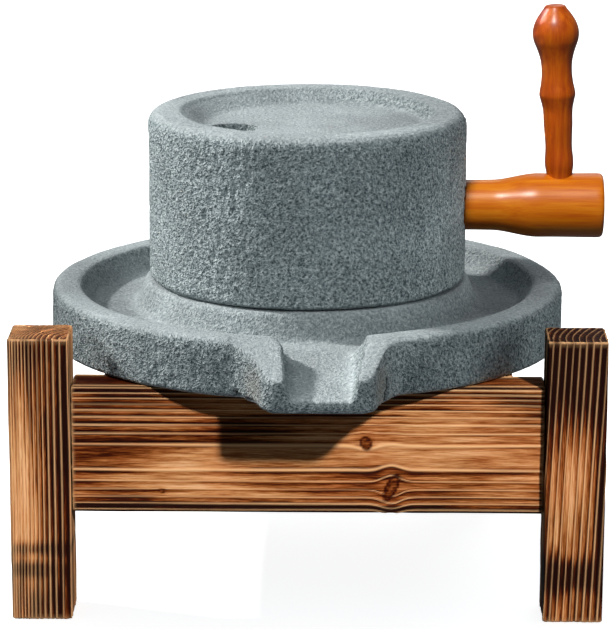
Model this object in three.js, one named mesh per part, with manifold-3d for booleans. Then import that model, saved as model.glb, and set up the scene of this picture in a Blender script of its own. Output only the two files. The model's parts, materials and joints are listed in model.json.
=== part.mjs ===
// A household rotary quern: a runner stone with a crank turns on a bed stone that is carved in one with
// its round catch tray and pouring spout, and the tray rests on a scorched pine stand.
// Millimetres, +Z up. The stones' turning axis is x = 0, y = 0 inside the group; the group is then moved so
// that the origin is the middle of the whole object's footprint, on the floor.
import * as THREE from "three";
import { mergeVertices } from "three/addons/utils/BufferGeometryUtils.js";
import Module from "manifold-3d";

const wasm = await Module();
wasm.setup();

// ---- driving dimensions -------------------------------------------------------------------------------
const CLEARANCE = 0.3; // between any two pieces that touch

// stand
const POST_SIDE = 36.5;
const FRONT_POST_HEIGHT = 176;
const FRONT_POST_SPACING = 322; // centre to centre
const BACK_LEG_SPACING = 220; // the back legs are tucked in under the tray
const STAND_DEPTH = 275; // front face of the front posts to back face of the back legs
const STAND_SHIFT = 2; // the stand's middle, to the right of the stones' axis
const RAIL_HEIGHT = 79;
const RAIL_THICKNESS = 29;
const RAIL_TOP = 145.2;
const WOOD_EDGE = 2.6; // rounding along the wood's edges
const TENON = { length: 12, height: 52, thickness: 13 };

// bed stone
const TRAY_RADIUS = 161.5;
const TRAY_HEIGHT = 35.3;
const RIM_WIDTH = 17.9;
const RIM_ROUNDING = 6;
const CHANNEL_DEPTH = 13.8;
const CHANNEL_INNER = 107.5;
const CHANNEL_OUTER = 136;
const CHANNEL_FILLET = 4;
const BED_RADIUS = 101.5;
const BED_RISE = 3; // the grinding face stands this far above the rim

// spout, seen from above; y is negative in front
const SPOUT_FRONT = -192.5;
const SPOUT_LEFT = { root: -42, front: -24, waist: [-30, -166] }; // waist: the pull of its hollow side
const SPOUT_RIGHT = { root: 58, front: 42.5, waist: [47, -164] };
const SPOUT_CORNER = 5;
const SPOUT_ROOT_DEPTH = 12; // how far the block is sunk into the tray's wall
const CHEEK_SLOPE = 0.3; // fall of the cheeks for each millimetre forward
const CHEEK_TWIST = 0.03; // the left cheek is a little lower than the right one
const CHEEK_BLEND = 22; // width over which the cheeks' slope runs out into the level rim
const NOTCH_BACK = -118;
const NOTCH_SLOPE_FROM = -125;
const NOTCH_FALL = 13.4; // from where its floor starts to slope to the lip
const NOTCH_LEFT = { floorBack: -13, floorFront: -9.3, topBack: -25, topFront: -11 };
const NOTCH_RIGHT = { floorBack: 26, floorFront: 29, topBack: 38.5, topFront: 32 };

// runner stone
const RUNNER_RADIUS = 100;
const RUNNER_HEIGHT = 106;
const RUNNER_TOP_ROUNDING = 8;
const RUNNER_FOOT_ROUNDING = 3.5;
const DISH_RADIUS = 79;
const DISH_FLOOR_RADIUS = 69;
const DISH_DEPTH = 9;
const DISH_FLOOR_SHIFT = 5; // the dish floor lies off centre, away from the feed hole
const FEED_HOLE = { x: -46, y: -14, radius: 15 };

// crank
const ARM_RISE = 45.5; // arm's axis above the runner's underside
const ARM_RADIUS = 15.9;
const ARM_END_RADIUS = 20.2;
const ARM_FLARE = { from: 116, to: 146 }; // distances from the turning axis
const ARM_REACH = 186.4;
const ARM_SOCKET_DEPTH = 34;
const ARM_END_CHAMFER = 2.6;
const GRIP_AT = 158.5; // where the grip stands on the arm
const GRIP_LEAN = 2.6; // degrees, towards the stones
const GRIP_TENON = { radius: 8, length: 20 };
// [height above the arm's crown, radius] of the turned grip
const GRIP_STATIONS = [
  [0, 8.2],
  [6, 9.6],
  [16, 9.5],
  [29, 9],
  [40, 9.9],
  [47, 11.2],
  [53, 11.7],
  [61, 11.3],
  [68, 10.3],
  [79, 11.9],
  [85, 13.9],
  [91, 14.9],
  [98, 14.3],
  [103, 12.4],
  [106, 9.9],
  [107.4, 6.8],
];

const STONE_SIDES = 72;
const HANDLE_SIDES = 32;

// ---- worked-out places --------------------------------------------------------------------------------
const STAND_FRONT = -STAND_DEPTH / 2;
const STAND_BACK = STAND_DEPTH / 2;
const FRONT_POST_Y = STAND_FRONT + POST_SIDE / 2;
const BACK_LEG_Y = STAND_BACK - POST_SIDE / 2;
const FRONT_RAIL_Y = STAND_FRONT + POST_SIDE - RAIL_THICKNESS / 2; // flush with the posts' inner faces
const BACK_RAIL_Y = STAND_BACK - POST_SIDE + RAIL_THICKNESS / 2;
const TRAY_BOTTOM = RAIL_TOP + CLEARANCE;
const RIM_TOP = TRAY_BOTTOM + TRAY_HEIGHT;
const RIM_INNER = TRAY_RADIUS - RIM_WIDTH;
const BED_TOP = RIM_TOP + BED_RISE;
const RUNNER_BOTTOM = BED_TOP + CLEARANCE;
const RUNNER_TOP = RUNNER_BOTTOM + RUNNER_HEIGHT;
const ARM_Z = RUNNER_BOTTOM + ARM_RISE;
const ARM_START = RUNNER_RADIUS - ARM_SOCKET_DEPTH;

// ---- materials ----------------------------------------------------------------------------------------
const bluestone = new THREE.MeshStandardMaterial({ color: 0x808b8b, roughness: 0.95, metalness: 0 });
const varnishedWood = new THREE.MeshStandardMaterial({ color: 0xb8560f, roughness: 0.3, metalness: 0 });
const scorchedPine = new THREE.MeshStandardMaterial({ color: 0x8a4a22, roughness: 0.7, metalness: 0 });

// ---- solids -------------------------------------------------------------------------------------------
// A closed three.js geometry as a solid that can be joined and cut.
function solid(geometry) {
  const bare = geometry.clone();
  bare.deleteAttribute("normal");
  bare.deleteAttribute("uv");
  const merged = mergeVertices(bare, 1e-4);
  return new wasm.Manifold(
    new wasm.Mesh({
      numProp: 3,
      vertProperties: new Float32Array(merged.attributes.position.array),
      triVerts: new Uint32Array(merged.index.array),
    }),
  );
}

// A solid as a named mesh.
function piece(name, shape, material) {
  const mesh = shape.getMesh();
  const vertices = new Float32Array(mesh.numVert * 3);
  for (let i = 0; i < mesh.numVert; i++) {
    const start = i * mesh.numProp;
    vertices.set(mesh.vertProperties.subarray(start, start + 3), i * 3);
  }
  const geometry = new THREE.BufferGeometry();
  geometry.setAttribute("position", new THREE.BufferAttribute(vertices, 3));
  geometry.setIndex(new THREE.BufferAttribute(new Uint32Array(mesh.triVerts), 1));
  geometry.computeVertexNormals();
  const made = new THREE.Mesh(geometry, material);
  made.name = name;
  return made;
}

// Points [radius, z] of an arc about a centre, from one angle to another, in degrees.
function arc(centreRadius, centreZ, radius, from, to, steps = 5) {
  return Array.from({ length: steps + 1 }, (_, i) => {
    const angle = THREE.MathUtils.degToRad(from + ((to - from) * i) / steps);
    return [centreRadius + radius * Math.cos(angle), centreZ + radius * Math.sin(angle)];
  });
}

// A profile of [radius, z] points turned about the z axis.
function turned(profile, sides) {
  const points = profile.map(([radius, z]) => new THREE.Vector2(Math.max(radius, 0), z));
  return new THREE.LatheGeometry(points, sides).rotateX(Math.PI / 2);
}

// A bar with rounded edges that runs from z = 0 to z = length.
function bar(width, depth, length) {
  const [w, d, r] = [width / 2 - WOOD_EDGE, depth / 2 - WOOD_EDGE, WOOD_EDGE];
  const outline = new THREE.Shape();
  outline.absarc(w, d, r, 0, Math.PI / 2);
  outline.absarc(-w, d, r, Math.PI / 2, Math.PI);
  outline.absarc(-w, -d, r, Math.PI, 1.5 * Math.PI);
  outline.absarc(w, -d, r, 1.5 * Math.PI, 2 * Math.PI);
  const bevel = WOOD_EDGE / 2;
  return new THREE.ExtrudeGeometry(outline, {
    depth: length - 2 * bevel,
    curveSegments: 3,
    bevelSize: bevel,
    bevelOffset: -bevel,
    bevelThickness: bevel,
    bevelSegments: 1,
  }).translate(0, 0, bevel);
}

// A box between two corners.
function box(low, high) {
  const size = high.map((value, i) => value - low[i]);
  const middle = high.map((value, i) => (value + low[i]) / 2);
  return solid(new THREE.BoxGeometry(...size).translate(...middle));
}

// A solid with six flat sides; corners run round the bottom and then round the top, both anticlockwise.
function hexahedron(corners) {
  const quads = [
    [3, 2, 1, 0],
    [4, 5, 6, 7],
    [0, 1, 5, 4],
    [1, 2, 6, 5],
    [2, 3, 7, 6],
    [3, 0, 4, 7],
  ];
  const geometry = new THREE.BufferGeometry();
  geometry.setAttribute("position", new THREE.Float32BufferAttribute(corners.flat(), 3));
  geometry.setIndex(quads.flatMap(([a, b, c, d]) => [a, b, c, a, c, d]));
  return solid(geometry);
}

// ---- stand --------------------------------------------------------------------------------------------
// A tenon (or, grown by the clearance, its mortise) that reaches from one place along x or y to another.
function tenon(alongX, from, to, across, grow = 0) {
  const half = TENON.thickness / 2 + grow;
  const middle = RAIL_TOP - RAIL_HEIGHT / 2;
  const [low, high] = [middle - TENON.height / 2 - grow, middle + TENON.height / 2 + grow];
  return alongX
    ? box([from, across - half, low], [to, across + half, high])
    : box([across - half, from, low], [across + half, to, high]);
}

// A rail along x with a tenon at each end, between two posts' faces.
function crossRail(left, right, y) {
  const body = bar(RAIL_HEIGHT, RAIL_THICKNESS, right - left - 2 * CLEARANCE)
    .rotateY(Math.PI / 2)
    .translate(left + CLEARANCE, y, RAIL_TOP - RAIL_HEIGHT / 2);
  const reach = TENON.length - CLEARANCE;
  return solid(body)
    .add(tenon(true, left - reach, left + 8, y))
    .add(tenon(true, right - 8, right + reach, y));
}

// A rail along y with a tenon at each end, between the front rail and a back leg.
function sideRail(x, front, back) {
  const body = bar(RAIL_THICKNESS, RAIL_HEIGHT, back - front - 2 * CLEARANCE)
    .rotateX(-Math.PI / 2)
    .translate(x, front + CLEARANCE, RAIL_TOP - RAIL_HEIGHT / 2);
  const reach = TENON.length - CLEARANCE;
  return solid(body)
    .add(tenon(false, front - reach, front + 8, x))
    .add(tenon(false, back - 8, back + reach, x));
}

function buildStand() {
  const stand = new THREE.Group();
  const half = POST_SIDE / 2;
  const backFaceOfFrontRail = FRONT_RAIL_Y + RAIL_THICKNESS / 2;
  const frontFaceOfBackLegs = BACK_LEG_Y - half;
  const postX = FRONT_POST_SPACING / 2;
  const legX = BACK_LEG_SPACING / 2;
  let frontRail = crossRail(half - postX, postX - half, FRONT_RAIL_Y);
  const backRail = crossRail(half - legX, legX - half, BACK_RAIL_Y);

  for (const [side, sign] of [["left", -1], ["right", 1]]) {
    const innerPostFace = sign * (postX - half);
    const innerLegFace = sign * (legX - half);
    const depth = sign * TENON.length;
    const post = solid(bar(POST_SIDE, POST_SIDE, FRONT_POST_HEIGHT).translate(sign * postX, FRONT_POST_Y, 0));
    const leg = solid(bar(POST_SIDE, POST_SIDE, RAIL_TOP).translate(sign * legX, BACK_LEG_Y, 0));
    const postMortise = tenon(
      true,
      Math.min(innerPostFace - sign, innerPostFace + depth),
      Math.max(innerPostFace - sign, innerPostFace + depth),
      FRONT_RAIL_Y,
      CLEARANCE,
    );
    const legMortise = tenon(
      true,
      Math.min(innerLegFace - sign, innerLegFace + depth),
      Math.max(innerLegFace - sign, innerLegFace + depth),
      BACK_RAIL_Y,
      CLEARANCE,
    );
    const sideMortise = tenon(
      false,
      frontFaceOfBackLegs - 1,
      frontFaceOfBackLegs + TENON.length,
      sign * legX,
      CLEARANCE,
    );
    const frontRailMortise = tenon(
      false,
      backFaceOfFrontRail - TENON.length,
      backFaceOfFrontRail + 1,
      sign * legX,
      CLEARANCE,
    );
    frontRail = frontRail.subtract(frontRailMortise);
    stand.add(piece(`front_${side}_post`, post.subtract(postMortise), scorchedPine));
    stand.add(piece(`back_${side}_leg`, leg.subtract(legMortise).subtract(sideMortise), scorchedPine));
    const rail = sideRail(sign * legX, backFaceOfFrontRail, frontFaceOfBackLegs);
    stand.add(piece(`${side}_side_rail`, rail, scorchedPine));
  }
  stand.add(piece("front_rail", frontRail, scorchedPine));
  stand.add(piece("back_rail", backRail, scorchedPine));
  stand.position.x = STAND_SHIFT;
  return stand;
}

// ---- bed stone ----------------------------------------------------------------------------------------
// Where a line of constant x meets the tray's front edge.
function trayFrontAt(x) {
  return -Math.sqrt(TRAY_RADIUS ** 2 - x ** 2);
}

function spoutBlock() {
  const inside = SPOUT_ROOT_DEPTH - TRAY_RADIUS;
  const shoulder = SPOUT_FRONT + SPOUT_CORNER;
  const plan = new THREE.Shape();
  plan.moveTo(SPOUT_LEFT.root, inside);
  plan.lineTo(SPOUT_LEFT.root, trayFrontAt(SPOUT_LEFT.root));
  plan.quadraticCurveTo(...SPOUT_LEFT.waist, SPOUT_LEFT.front, shoulder);
  plan.lineTo(SPOUT_LEFT.front + SPOUT_CORNER, SPOUT_FRONT);
  plan.lineTo(SPOUT_RIGHT.front - SPOUT_CORNER, SPOUT_FRONT);
  plan.lineTo(SPOUT_RIGHT.front, shoulder);
  plan.quadraticCurveTo(...SPOUT_RIGHT.waist, SPOUT_RIGHT.root, trayFrontAt(SPOUT_RIGHT.root));
  plan.lineTo(SPOUT_RIGHT.root, inside);
  const settings = { depth: TRAY_HEIGHT, curveSegments: 6, bevelEnabled: false };
  return solid(new THREE.ExtrudeGeometry(plan, settings).translate(0, 0, TRAY_BOTTOM));
}

// Everything above the rim and the sloping cheeks, between two values of x; `leftSlope` and `rightSlope` say
// how much of the cheeks' slope there is on each side.
function aboveCheeks(left, right, leftSlope, rightSlope) {
  const [back, front, top] = [-RIM_INNER, SPOUT_FRONT - 10, RIM_TOP + 20];
  const middle = (SPOUT_LEFT.front + SPOUT_RIGHT.front) / 2;
  const height = (x, slope) => RIM_TOP + slope * ((front - back) * CHEEK_SLOPE + (x - middle) * CHEEK_TWIST);
  return hexahedron([
    [left, front, height(left, leftSlope)],
    [right, front, height(right, rightSlope)],
    [right, back, RIM_TOP],
    [left, back, RIM_TOP],
    [left, front, top],
    [right, front, top],
    [right, back, top],
    [left, back, top],
  ]);
}

// The channel that runs from the tray through the rim and out over the lip.
function spoutNotch() {
  const [front, top] = [SPOUT_FRONT - 1, RIM_TOP + 4];
  const slope = NOTCH_FALL / (NOTCH_SLOPE_FROM - SPOUT_FRONT);
  const floor = (y) => RIM_TOP - CHANNEL_DEPTH + (y - NOTCH_SLOPE_FROM) * slope;
  return hexahedron([
    [NOTCH_LEFT.floorFront, front, floor(front)],
    [NOTCH_RIGHT.floorFront, front, floor(front)],
    [NOTCH_RIGHT.floorBack, NOTCH_BACK, floor(NOTCH_BACK)],
    [NOTCH_LEFT.floorBack, NOTCH_BACK, floor(NOTCH_BACK)],
    [NOTCH_LEFT.topFront, front, top],
    [NOTCH_RIGHT.topFront, front, top],
    [NOTCH_RIGHT.topBack, NOTCH_BACK, top],
    [NOTCH_LEFT.topBack, NOTCH_BACK, top],
  ]);
}

function buildBedStone() {
  const channelFloor = RIM_TOP - CHANNEL_DEPTH;
  const rimOuter = TRAY_RADIUS - RIM_ROUNDING;
  const profile = [
    [0, TRAY_BOTTOM],
    [TRAY_RADIUS - 1.2, TRAY_BOTTOM],
    [TRAY_RADIUS, TRAY_BOTTOM + 1.2],
    ...arc(rimOuter, RIM_TOP - RIM_ROUNDING, RIM_ROUNDING, 0, 90),
    [RIM_INNER + 0.8, RIM_TOP],
    [RIM_INNER - 0.4, RIM_TOP - 0.8],
    [CHANNEL_OUTER + 0.6, channelFloor + CHANNEL_FILLET],
    [CHANNEL_OUTER - CHANNEL_FILLET * 0.4, channelFloor + CHANNEL_FILLET * 0.25],
    [CHANNEL_OUTER - CHANNEL_FILLET * 1.2, channelFloor],
    [CHANNEL_INNER + 3.5, channelFloor],
    [CHANNEL_INNER, channelFloor + 2],
    [BED_RADIUS + 1, BED_TOP - 2],
    [BED_RADIUS - 1, BED_TOP],
    [0, BED_TOP],
  ];
  const [left, right] = [SPOUT_LEFT.front, SPOUT_RIGHT.front];
  const shape = solid(turned(profile, STONE_SIDES))
    .add(spoutBlock())
    .subtract(aboveCheeks(left, right, 1, 1))
    .subtract(aboveCheeks(left - CHEEK_BLEND, left, 0, 1))
    .subtract(aboveCheeks(right, right + CHEEK_BLEND, 1, 0))
    .subtract(spoutNotch());
  return piece("bed_stone", shape, bluestone);
}

// ---- runner stone -------------------------------------------------------------------------------------
function buildRunner() {
  const floor = RUNNER_TOP - DISH_DEPTH;
  const top = RUNNER_TOP_ROUNDING;
  const foot = RUNNER_FOOT_ROUNDING;
  const profile = [
    [0, RUNNER_BOTTOM],
    ...arc(RUNNER_RADIUS - foot, RUNNER_BOTTOM + foot, foot, -90, 0, 3),
    ...arc(RUNNER_RADIUS - top, RUNNER_TOP - top, top, 0, 90, 6),
    ...arc(DISH_RADIUS + 1.5, RUNNER_TOP - 1.5, 1.5, 90, 160, 2),
    [DISH_FLOOR_RADIUS + 1, floor + 1],
    [DISH_FLOOR_RADIUS - 2, floor],
    [0, floor],
  ];
  const geometry = turned(profile, STONE_SIDES);
  const places = geometry.attributes.position;
  for (let i = 0; i < places.count; i++) {
    const [x, y, z] = [places.getX(i), places.getY(i), places.getZ(i)];
    const inDish = Math.hypot(x, y) < DISH_RADIUS && z > RUNNER_TOP - DISH_DEPTH - 1;
    if (inDish) places.setX(i, x + (DISH_FLOOR_SHIFT * (RUNNER_TOP - z)) / DISH_DEPTH);
  }
  const feedHole = new THREE.CylinderGeometry(FEED_HOLE.radius, FEED_HOLE.radius, 2 * RUNNER_HEIGHT, 40)
    .rotateX(Math.PI / 2)
    .translate(FEED_HOLE.x, FEED_HOLE.y, RUNNER_BOTTOM + RUNNER_HEIGHT / 2);
  const socketRadius = ARM_RADIUS + CLEARANCE;
  const socket = new THREE.CylinderGeometry(socketRadius, socketRadius, ARM_SOCKET_DEPTH + 20, HANDLE_SIDES)
    .rotateZ(Math.PI / 2)
    .translate(ARM_START + (ARM_SOCKET_DEPTH + 20) / 2, 0, ARM_Z);
  const shape = solid(geometry).subtract(solid(feedHole)).subtract(solid(socket));
  return piece("runner_stone", shape, bluestone);
}

// ---- crank --------------------------------------------------------------------------------------------
function buildArm() {
  const steps = 6;
  const flare = Array.from({ length: steps + 1 }, (_, i) => {
    const along = i / steps;
    const ease = along * along * (3 - 2 * along);
    return [
      ARM_RADIUS + (ARM_END_RADIUS - ARM_RADIUS) * ease,
      THREE.MathUtils.lerp(ARM_FLARE.from, ARM_FLARE.to, along),
    ];
  });
  const profile = [
    [0, ARM_START + CLEARANCE],
    [ARM_RADIUS, ARM_START + CLEARANCE],
    ...flare,
    [ARM_END_RADIUS, ARM_REACH - ARM_END_CHAMFER],
    [ARM_END_RADIUS - ARM_END_CHAMFER * 0.8, ARM_REACH],
    [0, ARM_REACH],
  ];
  const body = turned(profile, HANDLE_SIDES).rotateY(Math.PI / 2).translate(0, 0, ARM_Z);
  const socketRadius = GRIP_TENON.radius + CLEARANCE;
  const socket = new THREE.CylinderGeometry(socketRadius, socketRadius, 2 * GRIP_TENON.length, HANDLE_SIDES)
    .rotateX(Math.PI / 2)
    .rotateY(THREE.MathUtils.degToRad(-GRIP_LEAN))
    .translate(GRIP_AT, 0, ARM_Z + ARM_END_RADIUS);
  return piece("crank_arm", solid(body).subtract(solid(socket)), varnishedWood);
}

function buildGrip() {
  const curve = new THREE.SplineCurve(GRIP_STATIONS.map(([z, radius]) => new THREE.Vector2(radius, z)));
  const turnedPart = curve.getPoints(26).map((point) => [point.x, point.y]);
  const last = GRIP_STATIONS.at(-1)[0];
  const tenonBottom = -GRIP_TENON.length + 2 * CLEARANCE;
  const profile = [
    [0, tenonBottom],
    [GRIP_TENON.radius, tenonBottom],
    [GRIP_TENON.radius, 0.6],
    ...turnedPart.filter(([, z]) => z > 0.6),
    [0, last],
  ];
  const shape = solid(
    turned(profile, HANDLE_SIDES)
      .rotateY(THREE.MathUtils.degToRad(-GRIP_LEAN))
      .translate(GRIP_AT, 0, ARM_Z + ARM_END_RADIUS),
  );
  return piece("crank_grip", shape, varnishedWood);
}

// ---- assembly -----------------------------------------------------------------------------------------
const quern = new THREE.Group();
quern.add(buildStand(), buildBedStone(), buildRunner(), buildArm(), buildGrip());

const leftReach = STAND_SHIFT - FRONT_POST_SPACING / 2 - POST_SIDE / 2;
quern.position.set(-(leftReach + ARM_REACH) / 2, -(SPOUT_FRONT + TRAY_RADIUS) / 2, 0);

export default quern;
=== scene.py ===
"""A household rotary quern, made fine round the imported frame: stones, scorched pine stand, varnished crank.

Lengths are millimetres unless a comment says otherwise, and MM turns them into Blender's metres.
"""
import itertools
import json
import math

import bmesh
import bpy
import numpy as np
from mathutils import Matrix, Vector


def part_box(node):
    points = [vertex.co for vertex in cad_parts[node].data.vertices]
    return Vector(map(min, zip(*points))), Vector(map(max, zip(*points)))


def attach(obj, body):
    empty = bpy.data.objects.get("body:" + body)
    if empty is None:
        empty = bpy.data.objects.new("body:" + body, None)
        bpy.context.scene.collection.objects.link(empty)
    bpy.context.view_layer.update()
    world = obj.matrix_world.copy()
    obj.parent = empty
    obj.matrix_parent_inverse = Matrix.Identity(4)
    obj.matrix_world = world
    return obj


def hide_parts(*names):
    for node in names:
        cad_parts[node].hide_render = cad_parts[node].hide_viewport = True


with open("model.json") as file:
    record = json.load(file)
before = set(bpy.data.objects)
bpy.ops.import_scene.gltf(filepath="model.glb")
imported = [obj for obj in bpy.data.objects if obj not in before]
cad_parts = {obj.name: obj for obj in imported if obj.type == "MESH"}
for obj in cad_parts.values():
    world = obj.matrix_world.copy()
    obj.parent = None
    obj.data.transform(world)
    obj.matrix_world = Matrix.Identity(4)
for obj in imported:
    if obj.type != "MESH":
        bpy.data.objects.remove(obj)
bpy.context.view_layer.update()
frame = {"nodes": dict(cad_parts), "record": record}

MM = 0.001
AXIS = np.array(frame["record"]["behaviour"]["joints"][0]["pos_m"]) / MM  # the stones' turning axis


def box_of(node):
    """Lowest and highest corners of a CAD node."""
    low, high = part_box(node)
    return np.array(low) / MM, np.array(high) / MM


# ---- camera -------------------------------------------------------------------------------------------
CAMERA_FROM_AXIS = (23.8, -1995.2)  # right of and in front of the turning axis
CAMERA_HEIGHT = 658.9
CAMERA_YAW, CAMERA_PITCH, CAMERA_ROLL = 0.687, -14.103, 0.123  # degrees
CAMERA_LENS = 184.9  # along the picture's longer side
CAMERA_SENSOR = 36.0
CAMERA_SIGHT = 20.0  # metres


def make_camera():
    camera = bpy.data.objects.new("camera", bpy.data.cameras.new("camera"))
    camera.data.lens = CAMERA_LENS
    camera.data.sensor_width = CAMERA_SENSOR
    camera.data.clip_end = CAMERA_SIGHT
    yaw, pitch, roll = (math.radians(a) for a in (CAMERA_YAW, CAMERA_PITCH, CAMERA_ROLL))
    turn = (
        Matrix.Rotation(yaw, 4, "Z")
        @ Matrix.Rotation(math.pi / 2 + pitch, 4, "X")
        @ Matrix.Rotation(roll, 4, "Z")
    )
    place = Vector((AXIS[0] + CAMERA_FROM_AXIS[0], AXIS[1] + CAMERA_FROM_AXIS[1], CAMERA_HEIGHT)) * MM
    camera.matrix_world = Matrix.Translation(place) @ turn
    bpy.context.collection.objects.link(camera)
    bpy.context.scene.camera = camera


# ---- noise and masks ----------------------------------------------------------------------------------
# large odd numbers that scatter a grid corner's place and seed into an unpredictable value
SCATTER = (374761393, 668265263, 1440662683)
SCATTER_SEED = 1274126177
SCATTER_AGAIN = 1103515245


def smoothstep(start, end, value):
    t = np.clip((value - start) / (end - start), 0, 1)
    return t * t * (3 - 2 * t)


def noise(points, size, seed):
    """Smooth seeded noise from -1 to 1, with features about `size` across, at (n, 3) points."""
    grid = points / size
    cell = np.floor(grid).astype(np.int64)
    local = grid - cell
    fade = local**3 * (local * (local * 6 - 15) + 10)
    total = np.zeros(len(points))
    for corner in itertools.product((0, 1), repeat=3):
        mixed = (cell + corner) @ np.array(SCATTER) + seed * SCATTER_SEED
        mixed = (mixed ^ (mixed >> 13)) * SCATTER_AGAIN
        mixed = (mixed ^ (mixed >> 16)) & 0xFFFF
        weight = np.prod(np.where(corner, fade, 1 - fade), axis=1)
        total += weight * (mixed / 32767.5 - 1)
    return total


def layered_noise(points, size, seed, layers):
    """Noise with finer and weaker layers on top."""
    return sum(noise(points, size / 2**i, seed + i) / 1.8**i for i in range(layers))


def near(points, centre, radii):
    """1 at the centre, falling smoothly to 0 on an ellipsoid round it."""
    distance = np.linalg.norm((points - np.array(centre)) / np.array(radii), axis=1)
    return 1 - smoothstep(0, 1, distance)


# ---- mesh helpers -------------------------------------------------------------------------------------
def new_piece(name, mesh, body, nodes):
    piece = bpy.data.objects.new(name, mesh)
    bpy.context.collection.objects.link(piece)
    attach(piece, body)
    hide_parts(*nodes)
    return piece


def get_points(mesh):
    flat = np.empty(len(mesh.vertices) * 3, dtype=np.float32)
    mesh.vertices.foreach_get("co", flat)
    return flat.reshape(-1, 3).astype(float) / MM


def set_points(mesh, points):
    mesh.vertices.foreach_set("co", (points * MM).astype(np.float32).ravel())
    mesh.update()


def get_normals(mesh):
    flat = np.empty(len(mesh.vertices) * 3, dtype=np.float32)
    mesh.vertex_normals.foreach_get("vector", flat)
    return flat.reshape(-1, 3).astype(float)


def add_mask(mesh, name, values):
    layer = mesh.attributes.new(name, "FLOAT", "POINT")
    layer.data.foreach_set("value", np.asarray(values, dtype=np.float32))


def get_mask(mesh, name):
    values = np.empty(len(mesh.vertices), dtype=np.float32)
    mesh.attributes[name].data.foreach_get("value", values)
    return values


def add_vectors(mesh, name, values):
    layer = mesh.attributes.new(name, "FLOAT_VECTOR", "POINT")
    layer.data.foreach_set("vector", np.asarray(values, dtype=np.float32).ravel())


def smooth_shaded(mesh):
    mesh.polygons.foreach_set("use_smooth", np.ones(len(mesh.polygons), dtype=bool))
    return mesh


def fine_skin(node, voxel, softening):
    """A fine even skin round a CAD node's solid, with its crisp edges softened."""
    mesh = frame["nodes"][node].data.copy()
    mesh.materials.clear()
    welded = bmesh.new()
    welded.from_mesh(mesh)
    bmesh.ops.remove_doubles(welded, verts=welded.verts, dist=1e-6)
    welded.to_mesh(mesh)
    welded.free()
    rough = bpy.data.objects.new(node + "_rough", mesh)
    bpy.context.collection.objects.link(rough)
    remesh = rough.modifiers.new("remesh", "REMESH")
    remesh.mode = "VOXEL"
    remesh.voxel_size = voxel * MM
    relax = rough.modifiers.new("relax", "SMOOTH")
    relax.factor = RELAX_STEP
    relax.iterations = softening
    skin = bpy.data.meshes.new_from_object(rough.evaluated_get(bpy.context.evaluated_depsgraph_get()))
    bpy.data.objects.remove(rough)
    return smooth_shaded(skin)


# ---- stones -------------------------------------------------------------------------------------------
STONE_SIDES = 72  # of the CAD solids, which the fine skins make round again
RUNNER_VOXEL = 1.3
BED_VOXEL = 1.75
BED_INNER_EDGE = 141  # distance from the axis of the tray rim's inner edge, outside which it is hammered
INNER_EDGE_BLEND = 4  # half the distance over which the two meet
RUBBED_COARSENESS = 0.25  # inside that edge, against 1 on the hammered sides
HAMMERED_DARKER = 0.2  # loss of brightness on the hammered sides of the bed
RUNNER_SEED, BED_SEED = 11, 37
UNDULATION, UNDULATION_SIZE = 0.35, 26  # slow unevenness of the hand-dressed faces
PIT_DEPTH = 0.8  # of the hammered sides
RUBBED_PIT_DEPTH = 0.12  # of the tops
PIT_SIZE = 3.0
PIT_RIM = 0.15  # noise above this stays flat between the pits
PITS_SHIFT = 0.1  # how far in the skin is moved, to keep its relief inside the CAD box
HAMMERED_SLOPE = (0.45, 0.9)  # upward part of the normal, from fully hammered to rubbed smooth
CRACK_DEPTH = 2.0
CRACK_WANDER = 0.4  # to either side of its path
CRACK_FADE = 1.4  # distance over which a crack's edge closes
EDGE_SOFTENING = 2  # rounds over a whole skin
RELAX_STEP = 0.5  # how far each round moves a point towards the middle of its neighbours

# Places on the stones have x and y from the turning axis and z from the floor.
EASED = [
    # where the bed's carved edges are worn round: centre, radii, rounds of smoothing
    ((12, -172, 166), (85, 48, 50), 8),
    ((60, -158, 176), (24, 26, 22), 60),
]
CHIPS = [
    # centre, radii, depth
    ((-38.5, -159, 146), (6, 6, 3.5), 1.8),
    ((-31, -170, 146), (4, 6, 3), 1.5),
    ((-24, -187, 146), (5, 5, 3), 1.2),
    ((44.6, -178, 168), (6, 6, 4), 1.1),
]
CRACKS = [
    # path, half width
    (
        [(49.6, -165, 160), (49.5, -165, 156), (48.6, -166, 152.5), (49.4, -167, 150), (47.8, -168.4, 146)],
        1.0,
    ),
    ([(-41, -157, 149.5), (-37.5, -160, 146.5), (-33, -167, 147), (-28, -176, 146)], 0.5),
]
STAINS = [
    # earth-brown patches on the spout's cheeks: centre, radii
    ((-33, -176, 156), (16, 22, 22)),
    ((48, -176, 158), (15, 22, 22)),
]
# painted light and shade: broad areas of the stones painted paler where light falls and darker where shade
# falls: centre, radii, change
# on the bed: painted light on the spout, its right cheek and the right outer side; painted shade on the
# tray's left inner wall and channel, and on the right channel beside the runner
BED_PAINTED_LIGHT = [
    ((8, -168, 165), (60, 50, 34), 0.2),
    ((-140, 5, 166), (75, 125, 50), -0.45),
    ((120, 0, 176), (60, 90, 40), -0.1),
    ((60, -160, 168), (20, 26, 20), 0.35),
    ((105, -105, 156), (75, 75, 26), 0.5),
]
# on the runner: painted shade on the right of its top and on the dish's left wall; painted light on its front
# right side
RUNNER_PAINTED_LIGHT = [
    ((72, 5, 289), (80, 90, 46), -0.34),
    ((-74, 12, 283), (20, 56, 13), -0.45),
    ((85, -55, 225), (70, 75, 66), 0.28),
]


def made_round(points):
    """Moves points on the flat facets of a turned solid out to the true circle."""
    from_axis = points[:, :2] - AXIS[:2]
    sector = 2 * math.pi / STONE_SIDES
    angle = np.arctan2(from_axis[:, 1], from_axis[:, 0])
    off_middle = np.mod(angle, sector) - sector / 2
    stretch = np.cos(off_middle) / math.cos(sector / 2)
    out = points.copy()
    out[:, :2] = AXIS[:2] + from_axis * stretch[:, None]
    return out


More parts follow.
